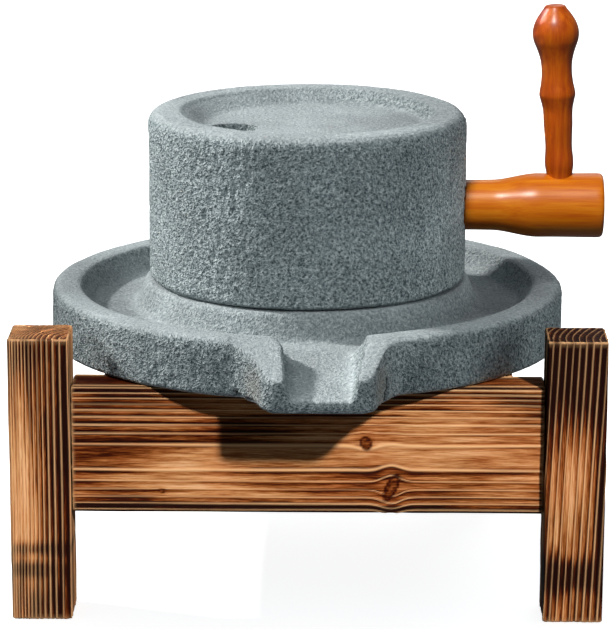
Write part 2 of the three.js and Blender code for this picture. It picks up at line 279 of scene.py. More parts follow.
def from_axis_of(points):
    return points - np.array([AXIS[0], AXIS[1], 0])


def painted_light_of(from_axis, tones):
    """Painted light and shade on the stone at each point, as a brightness factor, 1 where no painted area
    changes it.
    """
    return 1 + sum(change * near(from_axis, centre, radii) for centre, radii, change in tones)


def distance_to_path(points, path):
    """Distance from each point to a chain of straight stretches."""
    best = np.full(len(points), np.inf)
    for start, end in itertools.pairwise(np.array(path, dtype=float)):
        span = end - start
        along = np.clip((points - start) @ span / (span @ span), 0, 1)
        best = np.minimum(best, np.linalg.norm(points - start - along[:, None] * span, axis=1))
    return best


def relaxed(mesh, weight, rounds):
    """Rounds a skin's edges off, as far as `weight` allows at each point."""
    pairs = np.empty(len(mesh.edges) * 2, dtype=np.int32)
    mesh.edges.foreach_get("vertices", pairs)
    start, end = pairs.reshape(-1, 2).T
    count = len(mesh.vertices)
    ends_there = np.bincount(start, minlength=count) + np.bincount(end, minlength=count)
    points = get_points(mesh)
    for _ in range(rounds):
        total = np.column_stack([
            np.bincount(start, points[end, i], count) + np.bincount(end, points[start, i], count)
            for i in range(3)
        ])
        mean = total / ends_there[:, None]
        points += (mean - points) * RELAX_STEP * weight[:, None]
    set_points(mesh, points)


def dressed(mesh, seed, smooth_inside=0):
    """Gives a stone skin its hammered sides and smoother tops.

    The stone is rubbed smoother nearer to the axis than `smooth_inside` too. Returns the points before the
    relief, from the axis, and the normals.
    """
    points = made_round(get_points(mesh))
    set_points(mesh, points)
    normals = get_normals(mesh)
    coarse = 1 - smoothstep(*HAMMERED_SLOPE, np.abs(normals[:, 2]))
    if smooth_inside:
        radius = np.linalg.norm(points[:, :2] - AXIS[:2], axis=1)
        outside = smoothstep(smooth_inside - INNER_EDGE_BLEND, smooth_inside + INNER_EDGE_BLEND, radius)
        coarse *= RUBBED_COARSENESS + (1 - RUBBED_COARSENESS) * outside
    pits = layered_noise(points, PIT_SIZE, seed, 2)
    depth = RUBBED_PIT_DEPTH + (PIT_DEPTH - RUBBED_PIT_DEPTH) * coarse
    relief = depth * (np.minimum(pits, PIT_RIM) - PIT_RIM)
    relief += UNDULATION * noise(points, UNDULATION_SIZE, seed + 9)
    set_points(mesh, points + normals * (relief - PITS_SHIFT)[:, None])
    add_mask(mesh, "coarse", coarse)
    return from_axis_of(points), normals


def make_runner_stone():
    mesh = fine_skin("runner_stone", RUNNER_VOXEL, EDGE_SOFTENING)
    from_axis, _ = dressed(mesh, RUNNER_SEED)
    for name in ("crack", "stain"):
        add_mask(mesh, name, np.zeros(len(mesh.vertices)))
    # painted light and shade on the runner, as a brightness factor
    add_mask(mesh, "painted_light_and_tone", painted_light_of(from_axis, RUNNER_PAINTED_LIGHT))
    piece = new_piece("runner_stone_dressed", mesh, "runner", ["runner_stone"])
    piece.data.materials.append(bluestone())
    return piece


def make_bed_stone():
    mesh = fine_skin("bed_stone", BED_VOXEL, EDGE_SOFTENING)
    from_axis = from_axis_of(get_points(mesh))
    for centre, radii, rounds in EASED:
        relaxed(mesh, near(from_axis, centre, radii) ** 0.5, rounds)
    from_axis, normals = dressed(mesh, BED_SEED, BED_INNER_EDGE)
    points = get_points(mesh)
    for centre, radii, depth in CHIPS:
        bite = near(from_axis, centre, radii) * (1 + 0.5 * noise(points, 3, 5))
        points -= normals * (bite * depth)[:, None]
    crack = np.zeros(len(points))
    for path, half_width in CRACKS:
        gap = distance_to_path(from_axis, path) + CRACK_WANDER * noise(points, 2.5, 8)
        crack = np.maximum(crack, 1 - smoothstep(half_width, half_width + CRACK_FADE, gap))
    points -= normals * (CRACK_DEPTH * crack)[:, None]
    set_points(mesh, points)
    stain = sum(near(from_axis, centre, radii) for centre, radii in STAINS)
    # where the cracks are, for their painted shade
    add_mask(mesh, "crack", crack)
    add_mask(mesh, "stain", np.clip(stain, 0, 1))
    # painted light and shade, with the bed's darker hammered sides, as a brightness factor
    add_mask(mesh, "painted_light_and_tone", painted_light_of(from_axis, BED_PAINTED_LIGHT) - HAMMERED_DARKER * get_mask(mesh, "coarse"))
    piece = new_piece("bed_stone_dressed", mesh, "base", ["bed_stone"])
    piece.data.materials.append(bluestone())
    return piece


# ---- timber -------------------------------------------------------------------------------------------
class Timber:
    """One scorched and brushed pine bar: where its pith runs, its rings' width, and where it is burnt, and on
    the front rail where shadow is painted.

    Inside a bar, places are (across, deep, along): `across` runs over the broad outer face, `deep` goes in
    from that face, `along` follows the grain. `across` and `along` start at the visible bar's low end.
    """

    def __init__(self, node, axes, inward, pith, ring_width, ring_fall, char, step, seed, **more):
        self.node = node
        self.axes = axes  # which of x, y, z is across, deep and along
        self.inward = inward  # 1 or -1: the way along its axis that leads in from the outer face
        self.pith = pith  # (across, deep) of the rings' centre
        self.ring_width = ring_width  # of the innermost ring
        self.ring_fall = ring_fall  # distance over which rings get 2.7 times narrower
        self.char = char  # general scorch, 0 to 1
        self.step = step  # mesh spacing over and along the grain
        self.seed = seed
        self.first_ring = more.get("first_ring", 0.0)
        self.drift = more.get("drift", 0.0)  # how far the pith moves across for each mm along
        self.scorches_and_painted_shadow = more.get("scorches_and_painted_shadow", [])  # (across, along, half across, half along, strength) of scorch marks, and of one painted shadow on the front rail
        self.knots = more.get("knots", [])  # (across, along, half across, half along, tilt)
        self.shoulder = more.get("shoulder", 0)  # length of the tenon that the visible bar leaves out


EDGE_ROUNDING = 1.6  # of all edges of a bar
ROUNDING_STEPS = 5
THINNEST_SECTION = 0.2  # half of it
CAP_SPACING = 1.5  # of the rings of points over an end, in steps across


def bar_section(width, depth, inset, step):
    """Points round a rectangle with rounded corners, drawn in by `inset`."""
    radius = EDGE_ROUNDING
    half = np.array([width, depth]) / 2 - radius
    inner = np.maximum(half - inset, THINNEST_SECTION)
    counts = [max(2, round(2 * h / step)) for h in half]
    ring = []
    quarter = np.linspace(0, math.pi / 2, ROUNDING_STEPS, endpoint=False)
    corners = [(1, 1, 0), (-1, 1, 1), (-1, -1, 2), (1, -1, 3)]
    for side_x, side_y, turns in corners:
        middle = np.array([side_x, side_y]) * inner
        for angle in quarter + turns * math.pi / 2:
            ring.append(middle + radius * np.array([math.cos(angle), math.sin(angle)]))
        count = counts[turns % 2]
        leaving = (turns + 1) * math.pi / 2
        outward = radius * np.array([math.cos(leaving), math.sin(leaving)])
        next_x, next_y, _ = corners[(turns + 1) % 4]
        first = middle + outward
        last = np.array([next_x, next_y]) * inner + outward
        for i in range(count):
            ring.append(first + (last - first) * i / count)
    return np.array(ring)


def bar_rows(width, depth, length, step_across, step_along):
    """Rows of points from the middle of one end cap, along the bar, to the middle of the other."""
    quarter = np.linspace(0, math.pi / 2, ROUNDING_STEPS)
    lead = [(EDGE_ROUNDING * (1 - math.sin(a)), EDGE_ROUNDING * (1 - math.cos(a))) for a in quarter]
    body_count = max(2, round((length - 2 * EDGE_ROUNDING) / step_along))
    body = np.linspace(EDGE_ROUNDING, length - EDGE_ROUNDING, body_count + 1)[1:-1]
    stations = lead + [(0, at) for at in body]
    stations += [(inset, length - at) for inset, at in reversed(lead)]
    rows = []
    caps = max(3, round(min(width, depth) / 2 / (CAP_SPACING * step_across)))
    end_ring = bar_section(width, depth, EDGE_ROUNDING, step_across)
    for i in range(1, caps):
        rows.append(np.column_stack([end_ring * i / caps, np.zeros(len(end_ring))]))
    for inset, at in stations:
        ring = bar_section(width, depth, inset, step_across)
        rows.append(np.column_stack([ring, np.full(len(ring), at)]))
    for i in reversed(range(1, caps)):
        rows.append(np.column_stack([end_ring * i / caps, np.full(len(end_ring), length)]))
    return rows


def skin_over(rows, first_pole, last_pole):
    """Vertices and faces of a closed skin over rings of equal count, closed by a point at each end."""
    count = len(rows[0])
    vertices = np.vstack([[first_pole], *rows, [last_pole]])
    here = np.arange(count)
    ahead = (here + 1) % count
    faces = []
    for row in range(len(rows) - 1):
        low, high = 1 + row * count, 1 + (row + 1) * count
        faces += np.column_stack([low + here, low + ahead, high + ahead, high + here]).tolist()
    last_ring = 1 + (len(rows) - 1) * count
    faces += [[0, 1 + b, 1 + a] for a, b in zip(here, ahead)]
    faces += [[len(vertices) - 1, last_ring + a, last_ring + b] for a, b in zip(here, ahead)]
    return vertices, faces


# how the rings of a bar wander and bend
RING_WANDER_ACROSS = (0.5, 13)  # distance, size of the waves
RING_WANDER_DEEP = (0.4, 17)
ALONG_IN_RINGS = 0.16  # waves in the rings are this much slower along the grain
KNOT_PUSH = 0.42  # of its half width, by which a knot pushes the rings aside
KNOT_REACH_ALONG, KNOT_REACH_ACROSS = 2.0, 1.3
FAR_FROM_KNOTS = 9.0


def ring_field(timber, across, deep, along):
    """Growth rings between the pith and each point, bent round the knots, and the width of a ring there."""
    where = across.copy()
    for knot_across, knot_along, half_across, half_along, _ in timber.knots:
        sideways = where - knot_across
        closeness = np.exp(-(((along - knot_along) / (KNOT_REACH_ALONG * half_along)) ** 2))
        beyond = np.maximum(np.abs(sideways) - half_across, 0)
        fading = np.exp(-beyond / (KNOT_REACH_ACROSS * half_across))
        push = KNOT_PUSH * half_across * closeness * fading
        where = where - np.sign(sideways) * np.minimum(push, np.abs(sideways))
    stretched = np.column_stack([across, deep, along]) * (1, 1, ALONG_IN_RINGS)
    distance, size = RING_WANDER_ACROSS
    where = where - timber.drift * along + distance * noise(stretched, size, timber.seed)
    distance, size = RING_WANDER_DEEP
    inward = deep - timber.pith[1] + distance * noise(stretched, size, timber.seed + 3)
    radius = np.hypot(where - timber.pith[0], inward)
    fall = timber.ring_fall
    rings = fall / timber.ring_width * (np.exp(radius / fall) - 1) - timber.first_ring
    return rings, timber.ring_width * np.exp(-radius / fall)


def knot_mask(timber, across, along):
    """1 inside a knot, 0 outside, and the place inside it from 0 at its heart to 1 at its edge."""
    inside = np.full(len(across), FAR_FROM_KNOTS)
    for knot_across, knot_along, half_across, half_along, tilt in timber.knots:
        turn = math.radians(tilt)
        u, v = across - knot_across, along - knot_along
        u, v = u * math.cos(turn) - v * math.sin(turn), u * math.sin(turn) + v * math.cos(turn)
        inside = np.minimum(inside, np.hypot(u / half_across, v / half_along))
    return 1 - smoothstep(0.75, 1.25, inside), inside


# growth rings: a ring's place runs from 0 at one pale line to 1 at the next
PALE_LINE, PALE_LINE_CHANGE = 0.34, 0.16  # half width of the hard late-wood line, and how much that varies
DARK_FROM, DARK_FULL, DARK_FADE = 0.04, 0.16, 0.33  # the soft band that burns darkest, after the line
SECOND_DARK = 0.55  # strength of the weaker band before the next line
ALONG_IN_FIBRES, ALONG_IN_CLOUDS = 0.05, 0.3  # fibres and scorch change this much slower along the grain
BANDS_ON_BARE, BANDS_ON_CHAR = 0.2, 0.55  # how strongly the bands darken bare wood, and charred wood on top
BAND_MIDDLE = 0.42  # bands darker than this add to the burn
CHAR_CLOUDS, CHAR_CLOUD_SIZE = 0.16, 22  # strength and size of unplanned patches in the scorch
FIBRE_SCORCH = 0.15
CAP_PALER = 0.14  # how much less an end is burnt
ON_CAP = 0.05  # points nearer to an end than this lie on its flat cap
WEAR = 1.2  # distance from an end over which its edge is rubbed pale
RIDGE, GROOVE, FIBRE_RELIEF = 0.3, 0.32, 0.15  # brushed relief: pale lines stand up, burnt bands sink
KNOT_CRACK = 0.5  # depth round a knot
RELIEF_SHIFT = 0.15  # how far in the skin is moved, to keep its relief inside the CAD box


def ring_lines(timber, places, fibres):
    """How much each point lies on the pale line and in the dark band of its growth ring."""
    rings, ring_size = ring_field(timber, *places.T)
    part = rings - np.floor(rings)
    line_width = PALE_LINE + PALE_LINE_CHANGE * noise(fibres, 7, timber.seed + 5)
    pale = np.exp(-((np.minimum(part, 1 - part) * ring_size / line_width) ** 2))
    dark = smoothstep(DARK_FROM, DARK_FULL, part) * np.exp(-np.maximum(part - DARK_FULL, 0) / DARK_FADE)
    dark += SECOND_DARK * smoothstep(0.72, 0.93, part) * (1 - smoothstep(0.93, 1.0, part))
    return pale, dark


def scorch(timber, places):
    """General scorch at each point, from 0 to 1, with its darker and paler patches and, on the front rail, a
    patch of painted shadow.
    """
    across, _, along = places.T
    clouds = layered_noise(places * (1, 1, ALONG_IN_CLOUDS), CHAR_CLOUD_SIZE, timber.seed + 20, 2)
    char = timber.char + CHAR_CLOUDS * clouds
    for mark_across, mark_along, half_across, half_along, strength in timber.scorches_and_painted_shadow:
        u, v = (across - mark_across) / half_across, (along - mark_along) / half_along
        char = char + strength * np.exp(-(u**2) - v**2)
    return np.clip(char, 0, 1)


def brushed_grain(timber, places, fibres, size):
    """Burn, pale lines and relief of a bar of (width, depth, length) `size` at each point."""
    across, deep, along = places.T
    width, depth, length = size
    pale, dark = ring_lines(timber, places, fibres)
    # char also carries the front rail's painted shadow
    char = scorch(timber, places)
    burn = char + (BANDS_ON_BARE + BANDS_ON_CHAR * char) * (dark - BAND_MIDDLE)
    burn += FIBRE_SCORCH * noise(fibres, 1.5, timber.seed + 31)
    pale = pale * (0.95 - 0.35 * smoothstep(0.6, 1.0, char) + 0.25 * noise(fibres, 6, timber.seed + 7))

    knot, inside = knot_mask(timber, across, along)
    on_face = knot * (deep < depth / 2)
    rim = np.exp(-(((inside - 0.9) / 0.24) ** 2))
    heart = np.exp(-(((inside - 0.42) / 0.12) ** 2))
    knot_burn = 0.42 + 0.36 * rim + 0.2 * heart + 0.08 * noise(places, 1.5, timber.seed + 50)
    burn = burn * (1 - on_face) + on_face * knot_burn
    pale = pale * (1 - on_face)

    ends = np.minimum(along, length - along)
    patches = np.clip(0.8 + 0.7 * noise(places, 5, timber.seed + 60), 0, 1)
    worn = np.exp(-((ends / WEAR) ** 2)) * patches
    on_cap = ends < ON_CAP
    burn -= CAP_PALER * on_cap
    edge = np.minimum(np.minimum(across, width - across), np.minimum(deep, depth - deep))
    inside_cap = on_cap & (edge >= EDGE_ROUNDING)
    pale = np.maximum(pale, np.where(inside_cap, 0, worn * 0.9))

    relief = RIDGE * pale - GROOVE * np.clip(dark, 0, 1) * (0.4 + 0.6 * char)
    relief += FIBRE_RELIEF * noise(fibres, 1.3, timber.seed + 8) - KNOT_CRACK * on_face * rim
    return burn, pale, relief


def make_timber(timber):
    low, high = box_of(timber.node)
    a, d, g = timber.axes
    size = high - low
    width, depth, length = size[a], size[d], size[g] - 2 * timber.shoulder
    rows = bar_rows(width, depth, length, *timber.step)
    vertices, faces = skin_over(rows, (0, 0, 0), (0, 0, length))
    across = vertices[:, 0] + width / 2
    deep = depth / 2 + vertices[:, 1] * timber.inward
    along = vertices[:, 2]
    places = np.column_stack([across, deep, along])
    fibres = places * (1, 1, ALONG_IN_FIBRES)
    burn, pale, relief = brushed_grain(timber, places, fibres, (width, depth, length))

    world = np.empty_like(vertices)
    world[:, a] = (low[a] + high[a]) / 2 + vertices[:, 0]
    world[:, d] = (low[d] + high[d]) / 2 + vertices[:, 1]
    world[:, g] = low[g] + timber.shoulder + along
    mesh = bpy.data.meshes.new(timber.node + "_brushed")
    mesh.from_pydata((world * MM).tolist(), [], faces)
    mirrored = np.linalg.det(np.eye(3)[list(timber.axes)]) < 0
    if mirrored:
        mesh.flip_normals()
    mesh.update()
    smooth_shaded(mesh)
    set_points(mesh, world + get_normals(mesh) * (relief - RELIEF_SHIFT)[:, None])
    add_mask(mesh, "burn", np.clip(burn, 0, 1))
    add_mask(mesh, "pale", np.clip(pale, 0, 1))
    add_vectors(mesh, "grain", fibres)
    piece = new_piece(timber.node + "_brushed", mesh, "base", [timber.node])
    piece.data.materials.append(scorched_pine())
    return piece


X, Y, Z = 0, 1, 2
POST_AXES = (X, Y, Z)
RAIL_AXES = (Z, Y, X)
SIDE_RAIL_AXES = (Z, X, Y)
TENON = 12  # length hidden in the post at each end of a rail

TIMBERS = [
    Timber(
        "front_left_post", POST_AXES, 1, pith=(50, 2), ring_width=9.2, ring_fall=26.6,
        char=0.5, step=(0.5, 2.5), seed=101,
        scorches_and_painted_shadow=[
            (24, 150, 14, 46, 0.3), (9, 75, 8, 45, -0.4), (18, 45, 34, 3.5, 0.55),
            (10, 32, 16, 4.5, 0.75), (32, 95, 5, 70, 0.4), (22, 12, 22, 16, 0.3),
            (8, 168, 12, 12, 0.25), (6, 120, 5, 30, -0.2),
        ],
    ),
    Timber(
        "front_right_post", POST_AXES, 1, pith=(72, 4), ring_width=5.4, ring_fall=200,
        char=0.57, drift=0.04, step=(0.5, 2.5), seed=202,
        scorches_and_painted_shadow=[
            (18, 158, 40, 32, 0.7), (18, 88, 30, 34, -0.25), (14, 30, 40, 9, 0.7),
            (34, 70, 3.5, 50, 0.6), (8, 52, 6, 16, -0.2), (22, 60, 4, 20, 0.25), (10, 6, 8, 10, -0.2),
        ],
    ),
    Timber(
        "front_rail", RAIL_AXES, 1, pith=(35, 15), ring_width=5.7, ring_fall=68, first_ring=0.35,
        char=0.385, step=(0.65, 1.25), shoulder=TENON, seed=303,
        scorches_and_painted_shadow=[
            (0, 50, 6, 110, 1.4), (0, 220, 3.5, 110, 1.2), (62, 20, 18, 55, 0.3), (40, 8, 12, 30, 0.2),
            (30, 70, 14, 50, -0.25), (34, 230, 26, 50, -0.1), (79, 40, 6, 90, 0.4),
            # (60, 120, 30, 60, 0.15) below is painted shadow of the tray and spout on the rail's front, not
            # scorch
            (60, 120, 30, 60, 0.15), (26, 235, 3, 60, 0.15), (50, 240, 4, 50, 0.15),
            (72, 215, 9, 60, 0.25), (79, 240, 5, 60, 0.15),
        ],
        knots=[(44, 177.5, 4.6, 3.5, 15), (16.5, 193, 9.5, 3.6, -24), (13.6, 54.5, 1.4, 1.6, 0)],
    ),
    Timber(
        "back_left_leg", POST_AXES, -1, pith=(-12, 20), ring_width=9, ring_fall=30,
        char=0.5, step=(0.9, 4), seed=404, scorches_and_painted_shadow=[(18, 30, 30, 24, 0.3), (18, 90, 30, 30, -0.25)],
    ),
    Timber(
        "back_right_leg", POST_AXES, -1, pith=(49, 12), ring_width=10, ring_fall=28,
        char=0.5, step=(0.9, 4), seed=505, scorches_and_painted_shadow=[(18, 20, 30, 20, 0.3), (18, 80, 30, 36, -0.25)],
    ),
    Timber(
        "back_rail", RAIL_AXES, -1, pith=(52, 24), ring_width=6, ring_fall=60,
        char=0.46, step=(0.7, 3), shoulder=TENON, seed=606,
        scorches_and_painted_shadow=[(0, 90, 6, 120, 0.5), (40, 60, 20, 50, -0.25), (70, 150, 20, 40, 0.2)],
        knots=[(30, 120, 4, 3.4, 10)],
    ),
    Timber(
        "left_side_rail", SIDE_RAIL_AXES, 1, pith=(30, 20), ring_width=5.5, ring_fall=64,
        char=0.46, step=(0.7, 3), shoulder=TENON, seed=707,
        scorches_and_painted_shadow=[(0, 100, 6, 140, 0.5), (45, 140, 16, 50, -0.25), (60, 30, 24, 40, 0.25)],
    ),
    Timber(
        "right_side_rail", SIDE_RAIL_AXES, -1, pith=(48, 18), ring_width=6.2, ring_fall=60,
        char=0.46, step=(0.7, 3), shoulder=TENON, seed=808,
        scorches_and_painted_shadow=[(0, 100, 6, 140, 0.5), (30, 70, 16, 50, -0.25), (64, 170, 24, 40, 0.25)],
        knots=[(56, 60, 3.6, 3.2, -12)],
    ),
]


# ---- crank --------------------------------------------------------------------------------------------
TURNED_SIDES = 96
ARM_START_RING, GRIP_START_RING = 1.0, 0.5  # radius of the first ring of points on the hidden flat end
ROUNDED_END_STEPS = 6
ARM_RADIUS, ARM_END_RADIUS, ARM_END_CHAMFER = 15.9, 20.2, 2.6
ARM_FLARE = (116, 146)  # distances from the turning axis
ARM_STATION_STEP = 2.0
ARM_RIPPLE, ARM_RIPPLE_SIZE = 0.12, 9.0  # slight unevenness left by the lathe
ARM_END_SWELL = 0.25  # height of the slight dome on the flat end
ARM_END_MARGIN = 0.3  # room left for it inside the CAD box
GRIP_AT = 158.5
GRIP_LEAN = 2.6  # degrees, towards the stones
GRIP_STEPS = 150
GRIP_CROWN = 0.6  # height of the slight dome on the knob's flat top
# (height above the arm's crown, radius) of the turned grip
GRIP_STATIONS = [
    (-18, 8), (-3, 8), (0.5, 8.2), (5.2, 8.9), (18, 8.4), (31, 9), (43, 9.6), (47.5, 10.6),
    (50.5, 11.3), (53, 11.1), (57, 10.3), (66, 9.5), (73, 10.1), (77, 11.1), (80, 12.1), (85.4, 14),
    (90.6, 14.4), (94, 13.7), (97.5, 12.3), (101.5, 9.8), (105, 7.2), (106.6, 6.2),
]
# dark, middle and light tones under the varnish
ARM_TONES = [(0.2, 0.025, 0.0005), (0.3, 0.075, 0.0005), (0.39, 0.145, 0.006)]
GRIP_TONES = [(0.13, 0.011, 0.0005), (0.25, 0.042, 0.0005), (0.38, 0.1, 0.001)]
FIGURE_ALONG = 0.06  # slowness of the wood's figure along the grain


def turned(profile, matrix):
    """A closed turned skin from (height, radius) pairs, placed by a matrix in millimetres."""
    angles = np.linspace(0, 2 * math.pi, TURNED_SIDES, endpoint=False)
    rows = [
        np.column_stack([radius * np.cos(angles), radius * np.sin(angles), np.full(TURNED_SIDES, height)])
        for height, radius in profile
    ]
    vertices, faces = skin_over(rows, (0, 0, profile[0][0]), (0, 0, profile[-1][0]))
    mesh = bpy.data.meshes.new("turned")
    mesh.from_pydata(vertices.tolist(), [], faces)
    mesh.transform(matrix)
    mesh.transform(Matrix.Scale(MM, 4))
    mesh.update()
    return smooth_shaded(mesh)


def rounded_end(height, radius, bevel, swell):
    """Profile points over a rounded end at `height`, from the side to near the middle."""
    points = []
    for i in range(ROUNDED_END_STEPS + 1):
        angle = i / ROUNDED_END_STEPS * math.pi / 2
        points.append((height - bevel * (1 - math.sin(angle)), radius - bevel * (1 - math.cos(angle))))
    points += [(height + swell * (1 - k * k), (radius - bevel) * k) for k in (0.75, 0.5, 0.25)]
    return points


def spline(xs, ys, at):
    """Smooth curve through points, with slopes taken from their neighbours."""
    slopes = np.gradient(ys, xs)
    index = np.clip(np.searchsorted(xs, at, side="right") - 1, 0, len(xs) - 2)
    span = xs[index + 1] - xs[index]
    t = (at - xs[index]) / span
    return (
        (2 * t**3 - 3 * t**2 + 1) * ys[index]
        + (t**3 - 2 * t**2 + t) * span * slopes[index]
        + (3 * t**2 - 2 * t**3) * ys[index + 1]
        + (t**3 - t**2) * span * slopes[index + 1]
    )


def arm_height():
    low, high = box_of("crank_arm")
    return (low[2] + high[2]) / 2


def make_arm():
    low, high = box_of("crank_arm")
    start, reach = low[0] - AXIS[0], high[0] - AXIS[0]
    profile = [(start, ARM_START_RING), (start, ARM_RADIUS)]
    for distance in np.arange(start + ARM_STATION_STEP, reach - ARM_END_CHAMFER, ARM_STATION_STEP):
        flare = (ARM_END_RADIUS - ARM_RADIUS) * float(smoothstep(*ARM_FLARE, distance))
        ripple = ARM_RIPPLE * math.sin(distance / ARM_RIPPLE_SIZE)
        profile.append((distance, ARM_RADIUS + flare + ripple))
    profile += rounded_end(reach - ARM_END_MARGIN, ARM_END_RADIUS, ARM_END_CHAMFER, ARM_END_SWELL)
    along_x = Matrix.Translation((AXIS[0], AXIS[1], arm_height())) @ Matrix.Rotation(math.pi / 2, 4, "Y")
    arm = new_piece("crank_arm_turned", turned(profile, along_x), "runner", ["crank_arm"])
    arm.data.materials.append(varnished_wood("varnished_arm", (FIGURE_ALONG, 1, 1), *ARM_TONES))
    return arm


def make_grip():
    heights, radii = np.array(GRIP_STATIONS).T
    fine = np.linspace(heights[0], heights[-1], GRIP_STEPS)
    profile = [(heights[0], GRIP_START_RING), *zip(fine, spline(heights, radii, fine))]
    top, last = heights[-1], radii[-1]
    profile += [(top + GRIP_CROWN * (1 - k**4), last * k) for k in (0.9, 0.75, 0.5, 0.25)]
    stand = (
        Matrix.Translation((AXIS[0] + GRIP_AT, AXIS[1], arm_height() + ARM_END_RADIUS))
        @ Matrix.Rotation(math.radians(-GRIP_LEAN), 4, "Y")
    )
    mesh = turned(profile, stand)
    grip = new_piece("crank_grip_turned", mesh, "runner", ["crank_grip"])
    grip.data.materials.append(varnished_wood("varnished_grip", (1, 1, FIGURE_ALONG), *GRIP_TONES))
    return grip


# ---- materials ----------------------------------------------------------------------------------------
class Shader:
    """A material's node tree, with short calls to add and join nodes."""

    # a Mix node has sockets of every type, of which these are the coloured ones
    MIX_COLOUR_A, MIX_COLOUR_B, MIX_COLOUR_RESULT = 6, 7, 2

    def __init__(self, name):
        self.material = bpy.data.materials.new(name)
        self.material.use_nodes = True
        self.tree = self.material.node_tree
        self.surface = self.tree.nodes["Principled BSDF"]

    def feed(self, socket, value):
        if isinstance(value, bpy.types.NodeSocket):
            self.tree.links.new(value, socket)
        else:
            socket.default_value = value

    def blend(self, a, b, share):
        """`a`, with a `share` of `b` mixed in."""
        return self.maths("ADD", self.maths("MULTIPLY", a, 1 - share), self.maths("MULTIPLY", b, share))

    def finish(self, colour, roughness, specular):
        """Gives the surface its colour, roughness and strength of highlights."""
        self.feed(self.surface.inputs["Base Color"], colour)
        self.surface.inputs["Roughness"].default_value = roughness
        self.surface.inputs["Specular IOR Level"].default_value = specular

    def node(self, kind, *inputs, **settings):
        made = self.tree.nodes.new("ShaderNode" + kind)
        for key, value in settings.items():
            setattr(made, key, value)
        for socket, value in zip(made.inputs, inputs):
            if value is not None:
                self.feed(socket, value)
        return made

    def coordinates(self, scale=(1, 1, 1)):
        place = self.node("TexCoord").outputs["Object"]
        return self.node("VectorMath", place, scale, operation="MULTIPLY").outputs[0]

    def stored(self, name, output):
        """What add_mask ("Fac") or add_vectors ("Vector") stored on the mesh."""
        return self.node("Attribute", attribute_name=name, attribute_type="GEOMETRY").outputs[output]

    def mask(self, name):
        return self.stored(name, "Fac")

    def noise(self, place, size, detail, roughness=0.5):
        """Noise from 0 to 1 with features about `size` across, in the units of `place`."""
        made = self.node("TexNoise")
        self.feed(made.inputs["Vector"], place)
        made.inputs["Scale"].default_value = 1 / size
        made.inputs["Detail"].default_value = detail
        made.inputs["Roughness"].default_value = roughness
        return made.outputs[0]

    def maths(self, operation, a, b):
        return self.node("Math", a, b, operation=operation).outputs[0]

    def rescale(self, value, low, high, to_low=0.0, to_high=1.0):
        made = self.node("MapRange")
        self.feed(made.inputs["Value"], value)
        for key, number in zip(("From Min", "From Max", "To Min", "To Max"), (low, high, to_low, to_high)):
            self.feed(made.inputs[key], number)
        return made.outputs["Result"]

    def ramp(self, value, stops):
        made = self.node("ValToRGB", value)
        elements = made.color_ramp.elements
        while len(elements) < len(stops):
            elements.new(0.5)
        for element, (position, colour) in zip(elements, stops):
            element.position = position
            element.color = (*colour, 1)
        return made.outputs["Color"]

    def mix(self, amount, a, b, blend="MIX"):
        made = self.node("Mix", data_type="RGBA", blend_type=blend)
        self.feed(made.inputs["Factor"], amount)
        self.feed(made.inputs[self.MIX_COLOUR_A], a)
        self.feed(made.inputs[self.MIX_COLOUR_B], b)
        return made.outputs[self.MIX_COLOUR_RESULT]

    def bump(self, height, distance, strength):
        made = self.node("Bump")
        made.inputs["Strength"].default_value = strength
        made.inputs["Distance"].default_value = distance
        self.feed(made.inputs["Height"], height)
        self.tree.links.new(made.outputs["Normal"], self.surface.inputs["Normal"])


def once(make):
    """Makes a material the first time and gives the same one after that."""
    made = {}

    def get(*inputs):
        if inputs not in made:
            made[inputs] = make(*inputs)
        return made[inputs]

    return get


# colour stops over the grain of the stone, from its darkest specks to its palest
HAMMERED = [
    (0.36, (0.09, 0.12, 0.13)),
    (0.45, (0.25, 0.3, 0.31)),
    (0.54, (0.39, 0.45, 0.455)),
    (0.64, (0.64, 0.7, 0.7)),
]
RUBBED = [
    (0.36, (0.22, 0.26, 0.27)),
    (0.45, (0.31, 0.35, 0.36)),
    (0.54, (0.37, 0.41, 0.415)),
    (0.64, (0.5, 0.54, 0.54)),
]
STAIN_COLOUR, STAIN_STRENGTH = (0.24, 0.22, 0.18, 1), 0.55
# near-black painted shade inside the cracks
CRACK_PAINTED_SHADE = (0.012, 0.014, 0.014, 1)
STONE_GRAIN, STONE_SPECK, STONE_CLOUD = 0.0019, 0.0011, 0.035  # sizes in metres, as for all shader noise
STONE_BUMP = 0.0052

# colour stops over the burn of the pine, from bare wood to char
PINE = [
    (0.0, (0.42, 0.235, 0.12)),
    (0.2, (0.3, 0.138, 0.052)),
    (0.36, (0.19, 0.064, 0.017)),
    (0.5, (0.095, 0.023, 0.004)),
    (0.64, (0.028, 0.004, 0.0005)),
    (0.85, (0.006, 0.001, 0.0005)),
]
PALE_PINE = (0.44, 0.25, 0.12, 1)
BLUSH, BLUSH_SIZE, BLUSH_STRENGTH = (0.5, 0.25, 0.16, 1), 0.045, 0.25
FIBRE_SIZE, STREAK_SIZE = 0.6, 3.0  # millimetres, because the stored grain places are
FIBRE_BURN, STREAK_BURN = 0.17, 0.08
FIBRE_BUMP = 0.0004

FIGURE_SIZE, PORE_SIZE, PORE_BUMP = 0.0045, 0.0009, 0.0001


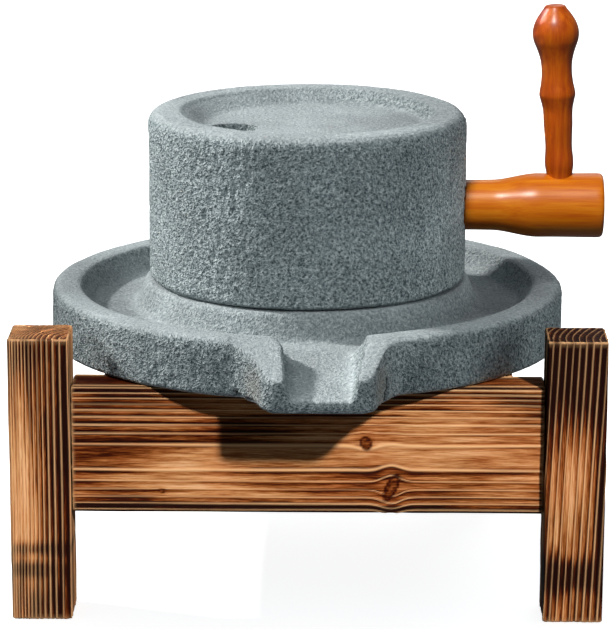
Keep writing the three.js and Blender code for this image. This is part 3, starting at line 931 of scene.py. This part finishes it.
@once
def bluestone():
    shader = Shader("bluestone")
    place = shader.coordinates()
    coarse = shader.mask("coarse")
    grain = shader.noise(place, STONE_GRAIN, 2, 0.6)
    speck = shader.noise(place, STONE_SPECK, 1)
    both = shader.blend(grain, speck, 0.35)
    colour = shader.mix(coarse, shader.ramp(both, RUBBED), shader.ramp(both, HAMMERED))
    cloud = shader.rescale(shader.noise(place, STONE_CLOUD, 3), 0.35, 0.65, 0.88, 1.1)
    colour = shader.mix(1.0, colour, cloud, "MULTIPLY")
    # painted light and shade, and the bed's darker hammered sides, multiplied into the colour
    colour = shader.mix(1.0, colour, shader.mask("painted_light_and_tone"), "MULTIPLY")
    stain = shader.maths("MULTIPLY", shader.mask("stain"), STAIN_STRENGTH)
    colour = shader.mix(stain, colour, STAIN_COLOUR)
    # painted shade: the cracks darkened to near black
    colour = shader.mix(shader.mask("crack"), colour, CRACK_PAINTED_SHADE)
    shader.finish(colour, roughness=0.92, specular=0.25)
    depth = shader.rescale(coarse, 0, 1, 0.25, 1.0)
    shader.bump(shader.maths("MULTIPLY", both, depth), STONE_BUMP, 1.0)
    return shader.material


@once
def scorched_pine():
    shader = Shader("scorched_pine")
    grain = shader.stored("grain", "Vector")
    fibre = shader.noise(grain, FIBRE_SIZE, 3, 0.6)
    streak = shader.noise(grain, STREAK_SIZE, 2)
    burn = shader.mask("burn")
    for lines, change in ((fibre, FIBRE_BURN), (streak, STREAK_BURN)):
        burn = shader.maths("ADD", burn, shader.rescale(lines, 0.3, 0.7, -change, change))
    wood = shader.ramp(burn, PINE)
    blush = shader.rescale(shader.noise(shader.coordinates(), BLUSH_SIZE, 2), 0.42, 0.62)
    wood = shader.mix(shader.maths("MULTIPLY", blush, BLUSH_STRENGTH), wood, BLUSH, "SOFT_LIGHT")
    pale = shader.maths("MULTIPLY", shader.mask("pale"), shader.rescale(fibre, 0.25, 0.6, 0.55, 1.0))
    wood = shader.mix(pale, wood, PALE_PINE)
    shader.finish(wood, roughness=0.6, specular=0.03)
    shader.bump(fibre, FIBRE_BUMP, 0.6)
    return shader.material


@once
def varnished_wood(name, stretch, dark, middle, light):
    shader = Shader(name)
    place = shader.coordinates(stretch)
    figure = shader.noise(place, FIGURE_SIZE, 3, 0.55)
    pores = shader.noise(place, PORE_SIZE, 2)
    colour = shader.ramp(shader.blend(figure, pores, 0.25), [(0.2, dark), (0.5, middle), (0.82, light)])
    shader.finish(colour, roughness=0.45, specular=0.1)
    shader.surface.inputs["Coat Weight"].default_value = 0.2
    shader.surface.inputs["Coat Roughness"].default_value = 0.27
    shader.bump(pores, PORE_BUMP, 0.4)
    return shader.material


# ---- stage --------------------------------------------------------------------------------------------
FLOOR_REACH = 12.0  # metres
FLOOR_GLOW = 0.88
SKY_COLOUR, SKY_STRENGTH = (0.86, 0.98, 1.08, 1), 0.21
SOFTBOX_AIM = (0, 0, 0.25)  # metres
COOL, NEUTRAL = (0.97, 1.0, 1.0), (1.0, 1.0, 1.0)
WARM, WARMER, CRANK_WARM = (1.0, 0.97, 0.95), (1.0, 0.97, 0.93), (1.0, 0.98, 0.95)


def add_sun(name, toward, strength, spread, colour):
    """A far light in the direction `toward`, `spread` degrees across."""
    light = bpy.data.lights.new(name, "SUN")
    light.energy = strength
    light.angle = math.radians(spread)
    light.color = colour
    lamp = bpy.data.objects.new(name, light)
    lamp.rotation_euler = Vector(toward).to_track_quat("Z", "Y").to_euler()
    bpy.context.collection.objects.link(lamp)
    return lamp


def add_softbox(name, place, size, power):
    """A square soft light at `place`, in metres, that faces the stones."""
    light = bpy.data.lights.new(name, "AREA")
    light.shape = "SQUARE"
    light.size = size
    light.energy = power
    lamp = bpy.data.objects.new(name, light)
    lamp.location = place
    lamp.rotation_euler = (Vector(place) - Vector(SOFTBOX_AIM)).to_track_quat("Z", "Y").to_euler()
    bpy.context.collection.objects.link(lamp)
    return lamp


def light_only(lamp, pieces, name):
    """Keeps a lamp's light off everything but some pieces, which the others still shade."""
    lit = bpy.data.collections.new(name)
    for piece in pieces:
        lit.objects.link(piece)
    lamp.light_linking.receiver_collection = lit


def make_floor():
    """A pale glowing floor, which lights nothing and isn't mirrored in anything."""
    mesh = bpy.data.meshes.new("floor")
    corners = [(x * FLOOR_REACH, y * FLOOR_REACH, 0) for x, y in ((-1, -1), (1, -1), (1, 1), (-1, 1))]
    mesh.from_pydata(corners, [], [(0, 1, 2, 3)])
    floor = bpy.data.objects.new("floor", mesh)
    bpy.context.collection.objects.link(floor)
    floor.visible_diffuse = False
    floor.visible_glossy = False
    shader = Shader("pale_floor")
    shader.finish((0.8, 0.8, 0.8, 1), roughness=0.9, specular=0.0)
    shader.surface.inputs["Emission Color"].default_value = (1, 1, 1, 1)
    shader.surface.inputs["Emission Strength"].default_value = FLOOR_GLOW
    mesh.materials.append(shader.material)


def make_lights(stones, timbers, crank):
    """A dim sky and two suns for everything, and more lights for the stones, the timbers and the crank."""
    world = bpy.data.worlds.new("studio")
    bpy.context.scene.world = world
    world.use_nodes = True
    background = world.node_tree.nodes["Background"]
    background.inputs["Color"].default_value = SKY_COLOUR
    background.inputs["Strength"].default_value = SKY_STRENGTH

    add_sun("key_from_left", (-0.775, 0.24, 0.585), 3.7, 4.5, WARM)
    add_sun("weak_back_light", (0.2, 0.85, 0.5), 0.45, 30, NEUTRAL)
    front_light = add_sun("front_light", (0.362, -0.732, 0.578), 7.4, 3.5, WARMER)
    light_only(front_light, timbers, "timbers")
    light_on_crank = add_sun("light_on_crank", (-0.2, -0.58, 0.79), 7.2, 12, CRANK_WARM)
    light_only(light_on_crank, crank, "crank")
    for_stones = [
        add_sun("low_left_fill", (-0.72, -0.56, 0.42), 0.9, 6, COOL),
        add_sun("low_right_fill", (0.97, -0.15, 0.18), 1.05, 35, COOL),
        add_softbox("softbox_above", (-0.42, -0.3, 1.05), 0.4, 2.7),
    ]
    for lamp in for_stones:
        light_only(lamp, stones, lamp.name + "_on")


# ---- the whole ----------------------------------------------------------------------------------------
make_camera()
stone_pieces = [make_runner_stone(), make_bed_stone()]
timber_pieces = [make_timber(timber) for timber in TIMBERS]
crank_pieces = [make_arm(), make_grip()]
make_floor()
make_lights(stone_pieces, timber_pieces, crank_pieces)
bpy.context.scene.view_settings.view_transform = "Standard"
